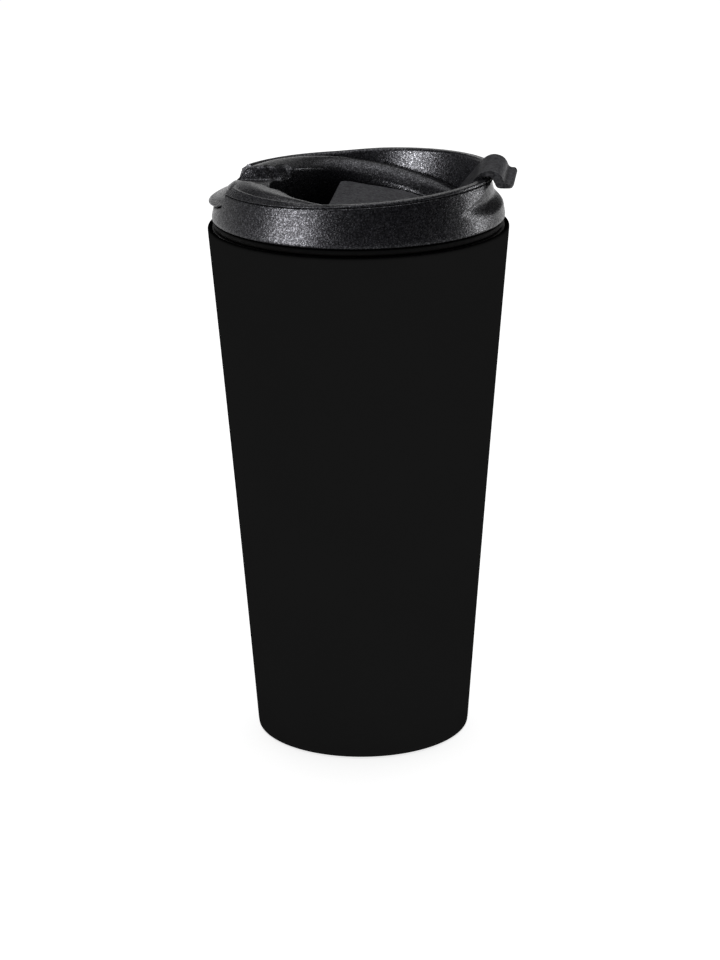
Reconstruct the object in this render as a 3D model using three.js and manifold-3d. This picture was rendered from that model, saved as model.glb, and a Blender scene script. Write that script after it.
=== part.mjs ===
// Insulated travel tumbler with a push-on flip-lever lid. Millimetres, +Z up, the base pad stands on z = 0.
// The lever's thumb hook points along +X, the lid's lift tab along -X. Lid heights are measured from the cup rim.
import * as THREE from "three";
import { mergeVertices } from "three/addons/utils/BufferGeometryUtils.js";
import Module from "manifold-3d";

const wasm = await Module();
wasm.setup();

// Driving dimensions of the cup.
const CUP_HEIGHT = 156; // floor to cup rim
const RIM_RADIUS = 44.3;
const FOOT_RADIUS = 32.15;
const SIDE_HOLLOW = 0.22; // how far the tapered side is drawn in halfway up
const SHELL_WALL = 0.7;
const LINER_WALL = 0.6;
const WALL_DEPTH = 3.3; // outer face to drink side
const DRINK_FLOOR = 9; // height of the liner's floor
const PAD_RADIUS = 29.45;
const CLEARANCE = 0.3; // between touching pieces

// Driving dimensions of the lid.
const SLEEVE_FOOT_RADIUS = 43.05;
const SLEEVE_TOP_RADIUS = 40.55;
const SLEEVE_FOOT = 2.2;
const WALL_RADIUS = 38.3; // inner edge of the raised drinking wall
const RIM_TILT = 0.05; // the drinking wall rises towards the hook
const RIM_MID = 14.2;
const REAR_RIM = 13.7;
const SLEEVE_MID = 13.35;
const SLEEVE_TILT = 0.045;
const RIDGE_RADIUS = 33;
const RECESS_RADIUS = 28.8;
const REAR_NARROWING = 2.9; // how much smaller the recess radius is at the rear
const NOTCH_HALF_ANGLE = 24; // degrees either side of -X, where the lift tab passes the sleeve
const SCALLOP_HALF_ANGLE = 40;
const SCALLOP_DEPTH = 2.1;
const TAB_RADIUS = 44.05;
const TAB_FLOOR = 5.8; // underside of the lift tab in its middle
const TAB_END_FLOOR = 8.2; // and at its ends
const CHANNEL_HALF_WIDTH = 9.5; // the open channel from the pit to the lift tab
const CHANNEL_CREST = 11.6; // its floor is highest on the middle line
const CHANNEL_EDGE = 10.2;
const CHANNEL_FLARE = 5.5; // how much wider each side gets towards the pit
const CHANNEL_REACH = 42; // degrees from -X within which the channel and its flare lie
const PLUG_DEPTH = 14;

// Driving dimensions of the lever.
const PLATE_MID = 6; // height of the plate's top face on the cup axis
const PLATE_SLOPE = 0.16;
const PLATE_THICKNESS = 2.2;
const PLATE_RADIUS = 28.2;
const PLATE_HALF_WIDTH = 26;
const PLATE_TAIL = -8;
const FLOOR_GAP = 1.6; // plate to the recess floor
const FLOOR_WALL = 1.8;
const POCKET_FLOOR = -4; // under the plate's tail
const HOOK_HALF_WIDTH = 12;
const PIVOT_X = -6;
const PIVOT_Z = 2.6;
const PIN_RADIUS = 1;
const KNUCKLE_RADIUS = 2;
const LUG_INNER = 14.2;
const LUG_OUTER = 17.2;
const SLOT_X = 20.5;
const SLOT_HALF_LENGTH = 8;
const SLOT_HALF_WIDTH = 3.5;
const VENT_X = 6;
const VENT_RADIUS = 1.6;

const AROUND = 56; // facets of a round piece
const LID_AROUND = 72;

const material = {
  paint: new THREE.MeshStandardMaterial({ color: 0x161616, roughness: 0.55, metalness: 0.1 }),
  steel: new THREE.MeshStandardMaterial({ color: 0xb8b8b6, roughness: 0.32, metalness: 1 }),
  pearl: new THREE.MeshStandardMaterial({ color: 0x45454c, roughness: 0.35, metalness: 0.55 }),
  darkPlastic: new THREE.MeshStandardMaterial({ color: 0x1a1a1c, roughness: 0.5, metalness: 0 }),
  silicone: new THREE.MeshStandardMaterial({ color: 0x0d0d0d, roughness: 0.75, metalness: 0 }),
  getter: new THREE.MeshStandardMaterial({ color: 0x6c6c6e, roughness: 0.7, metalness: 0.8 }),
};

const degrees = (angle) => (angle * Math.PI) / 180;
const mix = (a, b, t) => a + (b - a) * t;
const clamp01 = (t) => Math.min(1, Math.max(0, t));
const smooth = (t) => clamp01(t) ** 2 * (3 - 2 * clamp01(t));

// ---- solids ----

function solidOf(geometry) {
  const bare = geometry.clone();
  bare.deleteAttribute("normal");
  bare.deleteAttribute("uv");
  const merged = mergeVertices(bare, 1e-4);
  const vertProperties = new Float32Array(merged.attributes.position.array);
  const triVerts = new Uint32Array(merged.index.array);
  return new wasm.Manifold(new wasm.Mesh({ numProp: 3, vertProperties, triVerts }));
}

function geometryOf(solid) {
  const { vertProperties, triVerts } = solid.getMesh();
  const geometry = new THREE.BufferGeometry();
  geometry.setAttribute("position", new THREE.BufferAttribute(vertProperties, 3));
  geometry.setIndex(new THREE.BufferAttribute(triVerts, 1));
  return geometry;
}

function joined(...geometries) {
  return geometryOf(geometries.map(solidOf).reduce((all, next) => all.add(next)));
}

function cut(geometry, ...cutters) {
  return geometryOf(cutters.map(solidOf).reduce((left, cutter) => left.subtract(cutter), solidOf(geometry)));
}

function common(first, second) {
  return geometryOf(solidOf(first).intersect(solidOf(second)));
}

// A solid of revolution about Z from [radius, height] points that run anticlockwise.
function turned(points, segments = AROUND) {
  const profile = points.map(([radius, height]) => new THREE.Vector2(radius, height));
  return new THREE.LatheGeometry(profile, segments).rotateX(Math.PI / 2);
}

const closed = (points) => [...points, points[0]];

// A ring whose closed section changes round the axis: sectionAt(azimuth in degrees) gives [radius, height] points.
function sweptRing(azimuths, sectionAt) {
  const sections = azimuths.map(sectionAt);
  const count = sections[0].length;
  const positions = [];
  const index = [];
  sections.forEach((section, i) => {
    const angle = degrees(azimuths[i]);
    section.forEach(([radius, height]) => {
      positions.push(radius * Math.cos(angle), radius * Math.sin(angle), height);
    });
    const next = (i + 1) % sections.length;
    for (let j = 0; j < count; j++) {
      const up = (j + 1) % count;
      const [a, b] = [i * count + j, next * count + j];
      const [c, d] = [next * count + up, i * count + up];
      index.push(a, b, d, b, c, d);
    }
  });
  const geometry = new THREE.BufferGeometry();
  geometry.setAttribute("position", new THREE.Float32BufferAttribute(positions, 3));
  geometry.setIndex(index);
  return geometry;
}

// An outline in the XZ plane, extruded along Y between two offsets.
function extrudedAcross(points, from, to) {
  const shape = new THREE.Shape(points.map(([x, z]) => new THREE.Vector2(x, z)));
  const geometry = new THREE.ExtrudeGeometry(shape, { depth: to - from, bevelEnabled: false });
  return geometry.rotateX(Math.PI / 2).translate(0, to, 0);
}

// An outline in the YZ plane, extruded along X between two offsets.
function extrudedAlong(points, from, to) {
  const shape = new THREE.Shape(points.map(([y, z]) => new THREE.Vector2(y, z)));
  const geometry = new THREE.ExtrudeGeometry(shape, { depth: to - from, bevelEnabled: false });
  return geometry.rotateX(Math.PI / 2).rotateZ(Math.PI / 2).translate(from, 0, 0);
}

// An outline in the XY plane, extruded up between two heights.
function extrudedUp(shape, from, to) {
  const geometry = new THREE.ExtrudeGeometry(shape, { depth: to - from, bevelEnabled: false, curveSegments: 16 });
  return geometry.translate(0, 0, from);
}

function rodAcross(radius, from, to, x, z) {
  const rod = new THREE.CylinderGeometry(radius, radius, to - from, 20);
  return rod.translate(x, (from + to) / 2, z);
}

// A slot with round ends, long in Y.
function slotShape(x, halfWidth, halfLength) {
  const shape = new THREE.Shape();
  const straight = halfLength - halfWidth;
  shape.absarc(x, straight, halfWidth, 0, Math.PI, false);
  shape.absarc(x, -straight, halfWidth, Math.PI, 2 * Math.PI, false);
  return shape;
}

function discShape(x, radius) {
  const shape = new THREE.Shape();
  shape.absarc(x, 0, radius, 0, 2 * Math.PI, false);
  return shape;
}

function piece(name, geometry, look) {
  const mesh = new THREE.Mesh(geometry, look);
  mesh.name = name;
  return mesh;
}

// ---- the cup ----

const outerRadius = (z) => {
  const t = z / CUP_HEIGHT;
  return mix(FOOT_RADIUS, RIM_RADIUS, t) - SIDE_HOLLOW * Math.sin(Math.PI * t);
};
const drinkRadius = (z) => outerRadius(z) - WALL_DEPTH;

function outerShell() {
  const rollOuter = RIM_RADIUS - SHELL_WALL;
  const sideHeights = [26, 52, 78, 104, 130];
  return turned(
    closed([
      [FOOT_RADIUS - 1.9, 0.1],
      [FOOT_RADIUS - 0.35, 0.1],
      [FOOT_RADIUS - 0.05, 0.4],
      [outerRadius(1.5), 1.5],
      ...sideHeights.map((z) => [outerRadius(z), z]),
      [outerRadius(CUP_HEIGHT - 1), CUP_HEIGHT - 1],
      [RIM_RADIUS - 0.3, CUP_HEIGHT - 0.3],
      [rollOuter, CUP_HEIGHT],
      [rollOuter - 0.5, CUP_HEIGHT - 0.2],
      [rollOuter - 0.2, CUP_HEIGHT - 1.4],
      ...sideHeights.map((z) => [outerRadius(z) - SHELL_WALL, z]).reverse(),
      [outerRadius(2.2) - SHELL_WALL, 2.2],
      [FOOT_RADIUS - 1.2, 1.6],
      [FOOT_RADIUS - 1.2, 5],
      [FOOT_RADIUS - 1.9, 5],
    ]),
  );
}

function innerLiner() {
  const lip = RIM_RADIUS - SHELL_WALL - 0.5 - CLEARANCE;
  const outside = (z) => drinkRadius(z) + LINER_WALL;
  const floorRadius = drinkRadius(DRINK_FLOOR);
  return turned([
    [0, DRINK_FLOOR - LINER_WALL],
    [floorRadius - 4, DRINK_FLOOR - LINER_WALL],
    [floorRadius - 1, DRINK_FLOOR + 0.6],
    [outside(DRINK_FLOOR + 4), DRINK_FLOOR + 4],
    [outside(CUP_HEIGHT - 1.6), CUP_HEIGHT - 1.6],
    [lip, CUP_HEIGHT - 0.8],
    [lip, CUP_HEIGHT - 0.1],
    [lip - 0.5, CUP_HEIGHT],
    [drinkRadius(CUP_HEIGHT) + 0.4, CUP_HEIGHT],
    [drinkRadius(CUP_HEIGHT - 0.6), CUP_HEIGHT - 0.6],
    [drinkRadius(DRINK_FLOOR + 4.2), DRINK_FLOOR + 4.2],
    [floorRadius - 1.4, DRINK_FLOOR + 1.2],
    [floorRadius - 4, DRINK_FLOOR],
    [0, DRINK_FLOOR],
  ]);
}

function basePlate() {
  const edge = PAD_RADIUS + 0.3;
  return turned(
    closed([
      [1, 5],
      [6, 5],
      [8, 2.7],
      [edge, 2.7],
      [edge, 4.6],
      [edge - 0.8, 4.6],
      [edge - 0.8, 3.5],
      [8.4, 3.5],
      [6.4, 5.8],
      [1, 5.8],
    ]),
  );
}

function vacuumSealBead() {
  return turned([[0, 3.4], [1.8, 3.8], [2.4, 4.7], [0, 4.7]], 24);
}

function getterDisc() {
  return turned([[0, 6.6], [5, 6.6], [5.4, 7], [5.4, 8.1], [0, 8.1]], 32);
}

function basePad() {
  return turned([
    [0, 0],
    [PAD_RADIUS - 0.8, 0],
    [PAD_RADIUS, 0.8],
    [PAD_RADIUS, 2.4],
    [8, 2.4],
    [7, 1.4],
    [0, 1.4],
  ]);
}

// ---- heights on the lid, all from the cup rim ----

const rimTop = (x) => Math.max(RIM_MID + RIM_TILT * x, REAR_RIM);
const sleeveTop = (x) => SLEEVE_MID + SLEEVE_TILT * x;
const ridgeTop = (x) => 14.4 - 9.75 * Math.max(0, (x + 30) / 60) ** 1.8;
const plateTop = (x) => PLATE_MID - PLATE_SLOPE * x;
const fromRear = (azimuth) => 180 - Math.abs(azimuth);
const recessRadius = (azimuth) => RECESS_RADIUS - REAR_NARROWING * smooth((Math.abs(azimuth) - 100) / 40);

// How far the ridge's inner shoulder falls before the recess wall goes straight down.
const shoulderDrop = (azimuth) => mix(3.9, 1.4, smooth((Math.abs(azimuth) - 85) / 65));

// The lift tab thins out towards both ends of its notch: 0 in the middle of the notch, 1 at its ends.
const tabShare = (azimuth) => Math.min(1, fromRear(azimuth) / NOTCH_HALF_ANGLE);
const notchFloor = (azimuth) => mix(TAB_FLOOR, TAB_END_FLOOR, tabShare(azimuth) ** 2.5);

// How far the finger scallop under the hook sinks in: soft along its foot, crisp under its slanting brow.
function scallop(azimuth, z) {
  const away = Math.abs(azimuth);
  const u = Math.min(1, away / SCALLOP_HALF_ANGLE);
  const foot = 8.2 - 2.2 * Math.sqrt(1 - u ** 4);
  const brow = 9.7 + 0.2 * (38 - away);
  const depth = SCALLOP_DEPTH * (1 - u * u) ** 0.8;
  return depth * smooth((z - foot) / 3.6) * smooth((brow - z) / 1.1);
}

// The radius of the seat under the rim flange, which the sleeve goes round. It gives way behind the scallop.
const SEAT_RADIUS = 38.1;
const SLEEVE_HEAD = 1.2; // thickness of the sleeve at its top
const rimInset = (azimuth) => scallop(azimuth, sleeveTop(SLEEVE_TOP_RADIUS * Math.cos(degrees(azimuth))));
const seatRadius = (azimuth) =>
  Math.min(SEAT_RADIUS, SLEEVE_TOP_RADIUS - rimInset(azimuth) - SLEEVE_HEAD - CLEARANCE);

// Evenly spaced azimuths, with a pair close together at each end of the notch.
function lidAzimuths() {
  const step = 360 / LID_AROUND;
  const even = Array.from({ length: LID_AROUND }, (_, i) => -180 + i * step);
  const edge = 180 - NOTCH_HALF_ANGLE;
  const ends = [-edge - 0.5, -edge + 0.5, edge - 0.5, edge + 0.5];
  const clear = even.filter((azimuth) => ends.every((end) => Math.abs(azimuth - end) > 0.7));
  return [...clear, ...ends].sort((a, b) => a - b);
}

const inNotch = (azimuth) => fromRear(azimuth) < NOTCH_HALF_ANGLE;

function sleeveSection(azimuth) {
  const x = SLEEVE_TOP_RADIUS * Math.cos(degrees(azimuth));
  const top = inNotch(azimuth) ? notchFloor(azimuth) - CLEARANCE : sleeveTop(x);
  const fullTop = sleeveTop(x);
  const face = (z) => {
    const t = (z - SLEEVE_FOOT) / (fullTop - SLEEVE_FOOT);
    return mix(SLEEVE_FOOT_RADIUS, SLEEVE_TOP_RADIUS, t ** 1.25) - scallop(azimuth, z);
  };
  const outside = [0.12, 0.24, 0.38, 0.52, 0.66, 0.8, 0.9, 0.97].map((t) => mix(SLEEVE_FOOT, top, t));
  return [
    [SLEEVE_FOOT_RADIUS - 1.7, SLEEVE_FOOT],
    [SLEEVE_FOOT_RADIUS - 1, SLEEVE_FOOT],
    [SLEEVE_FOOT_RADIUS - 0.35, SLEEVE_FOOT + 0.3],
    ...outside.map((z) => [face(z), z]),
    [face(top) - 0.35, top],
    [face(top) - SLEEVE_HEAD, top],
    [Math.max(face(top) - 1.45, seatRadius(azimuth) + CLEARANCE), mix(top, SLEEVE_FOOT, 0.3)],
    [SLEEVE_FOOT_RADIUS - 1.75, mix(top, SLEEVE_FOOT, 0.75)],
  ];
}

// The section of the top moulding: recess wall, ridge, inner wall, rim flange or lift tab, and underside.
function topSection(azimuth) {
  const ridge = ridgeTop(RIDGE_RADIUS * Math.cos(degrees(azimuth)));
  const recess = recessRadius(azimuth);
  const rear = smooth((Math.abs(azimuth) - 80) / 40);
  const drop = shoulderDrop(azimuth);
  const edgeX = SLEEVE_TOP_RADIUS * Math.cos(degrees(azimuth));
  const rim = rimTop(edgeX);
  const edge = SLEEVE_TOP_RADIUS - rimInset(azimuth);
  const seat = seatRadius(azimuth);
  const lean = SEAT_RADIUS - seat;
  const flangeFoot = sleeveTop(edgeX) + CLEARANCE;
  const shoulder = mix(rim - 0.3, flangeFoot + 0.15, rear);
  const inside = [
    [recess, ridge - drop - 0.8],
    [recess + 0.3, ridge - drop],
    [mix(recess, RIDGE_RADIUS, 0.35), ridge - drop / 2],
    [mix(recess, RIDGE_RADIUS, 0.65), ridge - drop / 5],
    [RIDGE_RADIUS, ridge],
    [34.5 - lean / 2, ridge - 0.25],
    [36 - lean, ridge - 0.9],
  ];
  const wallAndFlange = [
    [36.6 - lean, ridge - 1.2],
    [mix(37.7, 36.8, rear) - lean, mix(rim - 0.8, rim - 0.35, rear)],
    [mix(WALL_RADIUS - lean, 37.6, rear), rim],
    [mix(Math.min(39.3, edge - 0.6), 38.5, rear), rim],
    [mix(edge - 0.35, 38.95, rear), mix(rim, rim - 0.55, rear)],
    [edge, shoulder],
    [edge, flangeFoot],
    [edge - 0.5, flangeFoot],
    [seat + 0.2, flangeFoot - 0.2],
    [seat, flangeFoot - 1.2],
  ];
  const share = tabShare(azimuth);
  const draw = 3 * share ** 2;
  const floor = notchFloor(azimuth) + 0.05;
  const liftTab = [
    [37.2, 12.2],
    [37.9, 10.9],
    [39.2, 9.7],
    [40.6 - 0.3 * draw, 8.75],
    [42.2 - 0.8 * draw, 7.8 + 0.8 * share ** 2],
    [TAB_RADIUS - 0.6 - draw, 7.3 + 1.15 * share ** 2],
    [TAB_RADIUS - draw, floor + mix(1, 0.3, share ** 2)],
    [TAB_RADIUS - 0.5 - draw, floor + mix(0.4, 0.1, share ** 2)],
    [42.4 - 0.8 * draw, floor],
    [38.2, floor],
  ];
  const bottom = Math.min(ridge - 3.4, notchFloor(azimuth) - 1);
  const soffit = fromRear(azimuth) < CHANNEL_REACH ? CHANNEL_EDGE - FLOOR_WALL : ridge - 2.6;
  return [
    [recess + 1.6, POCKET_FLOOR - FLOOR_WALL],
    [recess + 1.6, Math.min(soffit, ridge - drop - 1.8)],
    [mix(recess, RIDGE_RADIUS, 0.8), Math.min(soffit, ridge - 2.6)],
    [34.5 - lean, soffit],
    [36 - lean, bottom],
    [37.8 - lean, bottom],
    ...(inNotch(azimuth) ? liftTab : wallAndFlange).reverse(),
    ...inside.reverse(),
    [recess, POCKET_FLOOR - FLOOR_WALL],
  ];
}

// ---- the lid ----

function lidSleeve() {
  return sweptRing(lidAzimuths(), sleeveSection);
}

// The recess floor: a slope under the lever's plate, and a deep pocket behind it for the plate's tail.
function recessFloor() {
  const slope = (x) => plateTop(x) - PLATE_THICKNESS - FLOOR_GAP;
  const below = POCKET_FLOOR - FLOOR_WALL;
  const outline = [
    [31, slope(31)],
    [-1.4, slope(-1.4)],
    [-2.2, POCKET_FLOOR],
    [-13, POCKET_FLOOR],
    [-17, POCKET_FLOOR + 1],
    [-22, POCKET_FLOOR + 5],
    [-28, POCKET_FLOOR + 12],
    [-28, POCKET_FLOOR + 9.5],
    [-21.5, POCKET_FLOOR + 2.5],
    [-17, below + 0.7],
    [-13, below],
    [-0.5, below],
    [0.3, slope(0.3) - FLOOR_WALL],
    [31, slope(31) - FLOOR_WALL],
  ];
  const bar = extrudedAcross(outline, -30, 30);
  const disc = sweptDisc((azimuth) => recessRadius(azimuth) + 0.9, -8, 12);
  return common(bar, disc);
}

function sweptDisc(radiusAt, from, to) {
  const shape = new THREE.Shape(
    lidAzimuths().map((azimuth) => {
      const angle = degrees(azimuth);
      return new THREE.Vector2(radiusAt(azimuth) * Math.cos(angle), radiusAt(azimuth) * Math.sin(angle));
    }),
  );
  return extrudedUp(shape, from, to);
}

function hingeLug(side) {
  const [from, to] = side > 0 ? [LUG_INNER, LUG_OUTER] : [-LUG_OUTER, -LUG_INNER];
  const foot = extrudedAcross(
    [
      [PIVOT_X - 0.8, -4.6],
      [PIVOT_X + 4.2, -4.6],
      [PIVOT_X + 1.9, PIVOT_Z],
      [PIVOT_X - 0.8, PIVOT_Z],
    ],
    from,
    to,
  );
  return joined(foot, rodAcross(KNUCKLE_RADIUS, from, to, PIVOT_X, PIVOT_Z));
}

// What is cut away between the pit and the lift tab.
function rearChannel() {
  const half = CHANNEL_HALF_WIDTH;
  const outline = [
    [-half, 20],
    [-half, CHANNEL_EDGE],
    [-half / 2, mix(CHANNEL_EDGE, CHANNEL_CREST, 0.75)],
    [0, CHANNEL_CREST],
    [half / 2, mix(CHANNEL_EDGE, CHANNEL_CREST, 0.75)],
    [half, CHANNEL_EDGE],
    [half, 20],
  ];
  return extrudedAlong(outline, -39, -20);
}

// The corner cut away on one side where the channel widens into the pit.
function channelFlare(side) {
  const half = CHANNEL_HALF_WIDTH - 0.1;
  const shape = new THREE.Shape([
    new THREE.Vector2(-29.5, side * half),
    new THREE.Vector2(-20, side * half),
    new THREE.Vector2(-20, side * (half + CHANNEL_FLARE)),
  ]);
  return extrudedUp(shape, CHANNEL_EDGE, 20);
}

function lidTop() {
  const whole = joined(
    sweptRing(lidAzimuths(), topSection),
    recessFloor(),
    hingeLug(1),
    hingeLug(-1),
  );
  return cut(
    whole,
    extrudedUp(slotShape(SLOT_X, SLOT_HALF_WIDTH, SLOT_HALF_LENGTH), -8, 8),
    extrudedUp(discShape(VENT_X, VENT_RADIUS), -8, 8),
    rodAcross(PIN_RADIUS + CLEARANCE, -LUG_OUTER - 1, LUG_OUTER + 1, PIVOT_X, PIVOT_Z),
    rearChannel(),
    channelFlare(1),
    channelFlare(-1),
  );
}

function lidPlug() {
  const face = (z) => mix(39.8, 38.9, -z / PLUG_DEPTH);
  return turned(
    closed([
      [37.3, -PLUG_DEPTH],
      [38.4, -PLUG_DEPTH],
      [face(-PLUG_DEPTH + 1), -PLUG_DEPTH + 1],
      [face(-8), -8],
      [38.7, -8],
      [38.7, -5],
      [face(-5), -5],
      [39.8, 0.3],
      [40.9, 2.3],
      [40.9, 3.4],
      [38.5, 3.4],
      [38.4, 0],
    ]),
  );
}

function plugSealRing() {
  return turned(
    closed([
      [39, -7.7],
      [39.7, -7.7],
      [40.05, -6.9],
      [39.8, -6.4],
      [40.1, -5.8],
      [39.8, -5.3],
      [39, -5.3],
    ]),
  );
}

function rimGasket() {
  return turned(
    closed([
      [40.6, 0.3],
      [42.5, 0.3],
      [42.7, 0.6],
      [42.7, 1.6],
      [42.5, 1.9],
      [41.2, 1.9],
    ]),
  );
}

// ---- the lever ----

function leverPlate() {
  const shape = new THREE.Shape();
  const flankX = Math.sqrt(PLATE_RADIUS ** 2 - PLATE_HALF_WIDTH ** 2);
  const flankAngle = Math.atan2(PLATE_HALF_WIDTH, flankX);
  const corner = 3;
  shape.absarc(0, 0, PLATE_RADIUS, -flankAngle, flankAngle, false);
  shape.absarc(PLATE_TAIL + corner, PLATE_HALF_WIDTH - corner, corner, Math.PI / 2, Math.PI, false);
  shape.absarc(PLATE_TAIL + corner, corner - PLATE_HALF_WIDTH, corner, Math.PI, 1.5 * Math.PI, false);
  const flat = extrudedUp(shape, -PLATE_THICKNESS, 0);
  return flat.rotateY(Math.atan(PLATE_SLOPE)).translate(0, 0, PLATE_MID);
}

// The hook's outline: up from the plate, over the drinking rim, and out into the thumb lip.
function leverHook() {
  const under = [
    [22, plateTop(22) - 1.6],
    [25.6, -0.3],
    [27, 2.6],
    [28.4, 5.4],
    [29.9, 8],
    [31.6, 10.9],
    [33.4, 13.7],
    [34.6, 15.2],
    [35.9, 16.3],
    [37.9, 16.8],
    [39.3, 16.7],
    [40.2, 15.7],
    [41.1, 13.8],
    [41.7, 13.4],
  ];
  const over = [
    [45.5, 13.3],
    [46, 13.8],
    [45.9, 14.4],
    [45.4, 14.7],
    [44.1, 14.8],
    [43.4, 15.4],
    [42.8, 16.6],
    [41.9, 17.7],
    [40.6, 18.4],
    [39.2, 18.65],
    [37.9, 18.4],
    [36.5, 17.7],
    [35.3, 16.6],
    [34.2, 15.3],
    [32.5, 13.2],
    [30.4, 10.7],
    [28.4, 8.1],
    [26.6, 5.3],
    [24.8, 3],
    [22, plateTop(22) - 0.1],
  ];
  return extrudedAcross([...under, ...over], -HOOK_HALF_WIDTH, HOOK_HALF_WIDTH);
}

function flipLever() {
  const reach = LUG_INNER - CLEARANCE;
  const web = extrudedAcross(
    [
      [PIVOT_X - 1.3, PIVOT_Z],
      [PIVOT_X + 1.3, PIVOT_Z],
      [PIVOT_X + 1.6, plateTop(PIVOT_X) - 1],
      [PIVOT_X - 1.2, plateTop(PIVOT_X) - 1],
    ],
    -reach,
    reach,
  );
  const whole = joined(
    leverPlate(),
    leverHook(),
    rodAcross(KNUCKLE_RADIUS, -reach, reach, PIVOT_X, PIVOT_Z),
    web,
  );
  return cut(whole, rodAcross(PIN_RADIUS + CLEARANCE, -reach - 1, reach + 1, PIVOT_X, PIVOT_Z));
}

function hingePin() {
  return rodAcross(PIN_RADIUS, -LUG_OUTER, LUG_OUTER, PIVOT_X, PIVOT_Z);
}

// A silicone stopper: a flange under the plate with a plug that enters the opening below it.
function stopper(flangeShape, plugShape, x) {
  const ceiling = plateTop(x) - PLATE_THICKNESS * 1.02 - CLEARANCE;
  const flange = extrudedUp(flangeShape, -0.75, 0);
  const plug = extrudedUp(plugShape, -2, -0.4);
  const tilt = Math.atan(PLATE_SLOPE);
  return joined(flange, plug).translate(-x, 0, 0).rotateY(tilt).translate(x, 0, ceiling);
}

function drinkStopper() {
  const flange = slotShape(SLOT_X, SLOT_HALF_WIDTH + 1.6, SLOT_HALF_LENGTH + 1.6);
  const plug = slotShape(SLOT_X, SLOT_HALF_WIDTH - 0.5, SLOT_HALF_LENGTH - 0.5);
  return stopper(flange, plug, SLOT_X);
}

function ventStopper() {
  return stopper(discShape(VENT_X, VENT_RADIUS + 1.2), discShape(VENT_X, VENT_RADIUS - 0.5), VENT_X);
}

// ---- assembly ----

function cup() {
  const group = new THREE.Group();
  group.add(
    piece("outer_shell", outerShell(), material.paint),
    piece("inner_liner", innerLiner(), material.steel),
    piece("base_plate", basePlate(), material.steel),
    piece("vacuum_seal_bead", vacuumSealBead(), material.steel),
    piece("getter_disc", getterDisc(), material.getter),
    piece("base_pad", basePad(), material.silicone),
  );
  return group;
}

function lid() {
  const group = new THREE.Group();
  group.position.z = CUP_HEIGHT;
  group.add(
    piece("lid_sleeve", lidSleeve(), material.pearl),
    piece("lid_top", lidTop(), material.pearl),
    piece("lid_plug", lidPlug(), material.darkPlastic),
    piece("rim_gasket", rimGasket(), material.silicone),
    piece("plug_seal_ring", plugSealRing(), material.silicone),
    piece("hinge_pin", hingePin(), material.steel),
    piece("flip_lever", flipLever(), material.pearl),
    piece("drink_stopper", drinkStopper(), material.silicone),
    piece("vent_stopper", ventStopper(), material.silicone),
  );
  return group;
}

const tumbler = new THREE.Group();
tumbler.add(cup(), lid());
export default tumbler;
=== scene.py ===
import math

import bmesh
import bpy
from mathutils import Matrix, Vector


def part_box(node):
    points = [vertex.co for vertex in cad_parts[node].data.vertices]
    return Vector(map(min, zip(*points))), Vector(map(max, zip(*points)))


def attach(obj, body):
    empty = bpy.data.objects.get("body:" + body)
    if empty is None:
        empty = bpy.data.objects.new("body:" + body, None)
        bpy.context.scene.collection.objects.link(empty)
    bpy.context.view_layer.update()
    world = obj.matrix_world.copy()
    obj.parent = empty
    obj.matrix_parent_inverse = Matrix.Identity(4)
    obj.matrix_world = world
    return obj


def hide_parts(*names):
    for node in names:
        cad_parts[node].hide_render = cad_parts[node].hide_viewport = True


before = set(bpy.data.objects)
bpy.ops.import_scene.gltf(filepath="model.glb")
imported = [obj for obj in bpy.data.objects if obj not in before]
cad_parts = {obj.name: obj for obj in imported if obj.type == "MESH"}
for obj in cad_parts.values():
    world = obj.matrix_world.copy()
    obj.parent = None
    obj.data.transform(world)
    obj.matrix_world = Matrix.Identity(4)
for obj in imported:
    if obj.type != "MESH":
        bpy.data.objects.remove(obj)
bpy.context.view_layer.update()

# Insulated tumbler with a push-on flip-lever lid: fine surfaces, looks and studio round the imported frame.
# Section formulas are in millimetres. The thumb hook points along +X and the lid's lift tab along -X.

MM = 0.001
CUP_HEIGHT = round(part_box("outer_shell")[1].z / MM, 1)

# ---------------------------------------------------------------- sizes of the cup, as in the frame
RIM_RADIUS = 44.3
FOOT_RADIUS = 32.15
SIDE_HOLLOW = 0.22  # how far the tapered side is drawn in halfway up
SHELL_WALL = 0.7
LINER_WALL = 0.6
WALL_DEPTH = 3.3  # outer face to drink side
DRINK_FLOOR = 9  # height of the liner's floor
PAD_RADIUS = 29.45
CLEARANCE = 0.3  # between touching pieces

# --------------------------------------------------------------- the lid's sizes, heights from the cup's rim
SLEEVE_FOOT_RADIUS = 43.05
SLEEVE_TOP_RADIUS = 40.55
SLEEVE_FOOT = 2.2
SLEEVE_MID = 13.35
SLEEVE_TILT = 0.045
SLEEVE_HEAD = 1.2  # thickness of the sleeve at its top
SEAT_RADIUS = 38.1  # of the seat that the sleeve goes round
WALL_RADIUS = 38.3  # inner edge of the raised drinking wall
RIM_TILT = 0.05  # the drinking wall rises towards the hook
RIM_MID = 14.2
REAR_RIM = 13.7
RIDGE_RADIUS = 33
RECESS_RADIUS = 28.8
REAR_NARROWING = 2.9  # how much smaller the recess radius is at the rear
SCALLOP_HALF_ANGLE = 40
SCALLOP_DEPTH = 2.1
NOTCH_HALF_ANGLE = 24  # degrees either side of -X, where the lift tab passes the sleeve
GROOVE_START, GROOVE_END = 0.9, 0.1  # degrees outside the notch's nominal edge
TAB_RADIUS = 44.05
TAB_FLOOR = 5.8  # underside of the lift tab in its middle
TAB_END_FLOOR = 8.2  # and at its ends
CHANNEL_HALF_WIDTH = 9.5  # the open channel from the pit to the lift tab
CHANNEL_CREST = 11.6  # its floor is highest on the middle line
CHANNEL_EDGE = 10.2
CHANNEL_FLARE = 5.5  # how much wider each side gets towards the pit
CHANNEL_REACH = 42  # degrees from -X within which the channel and its flare lie
PLUG_DEPTH = 14

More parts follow.
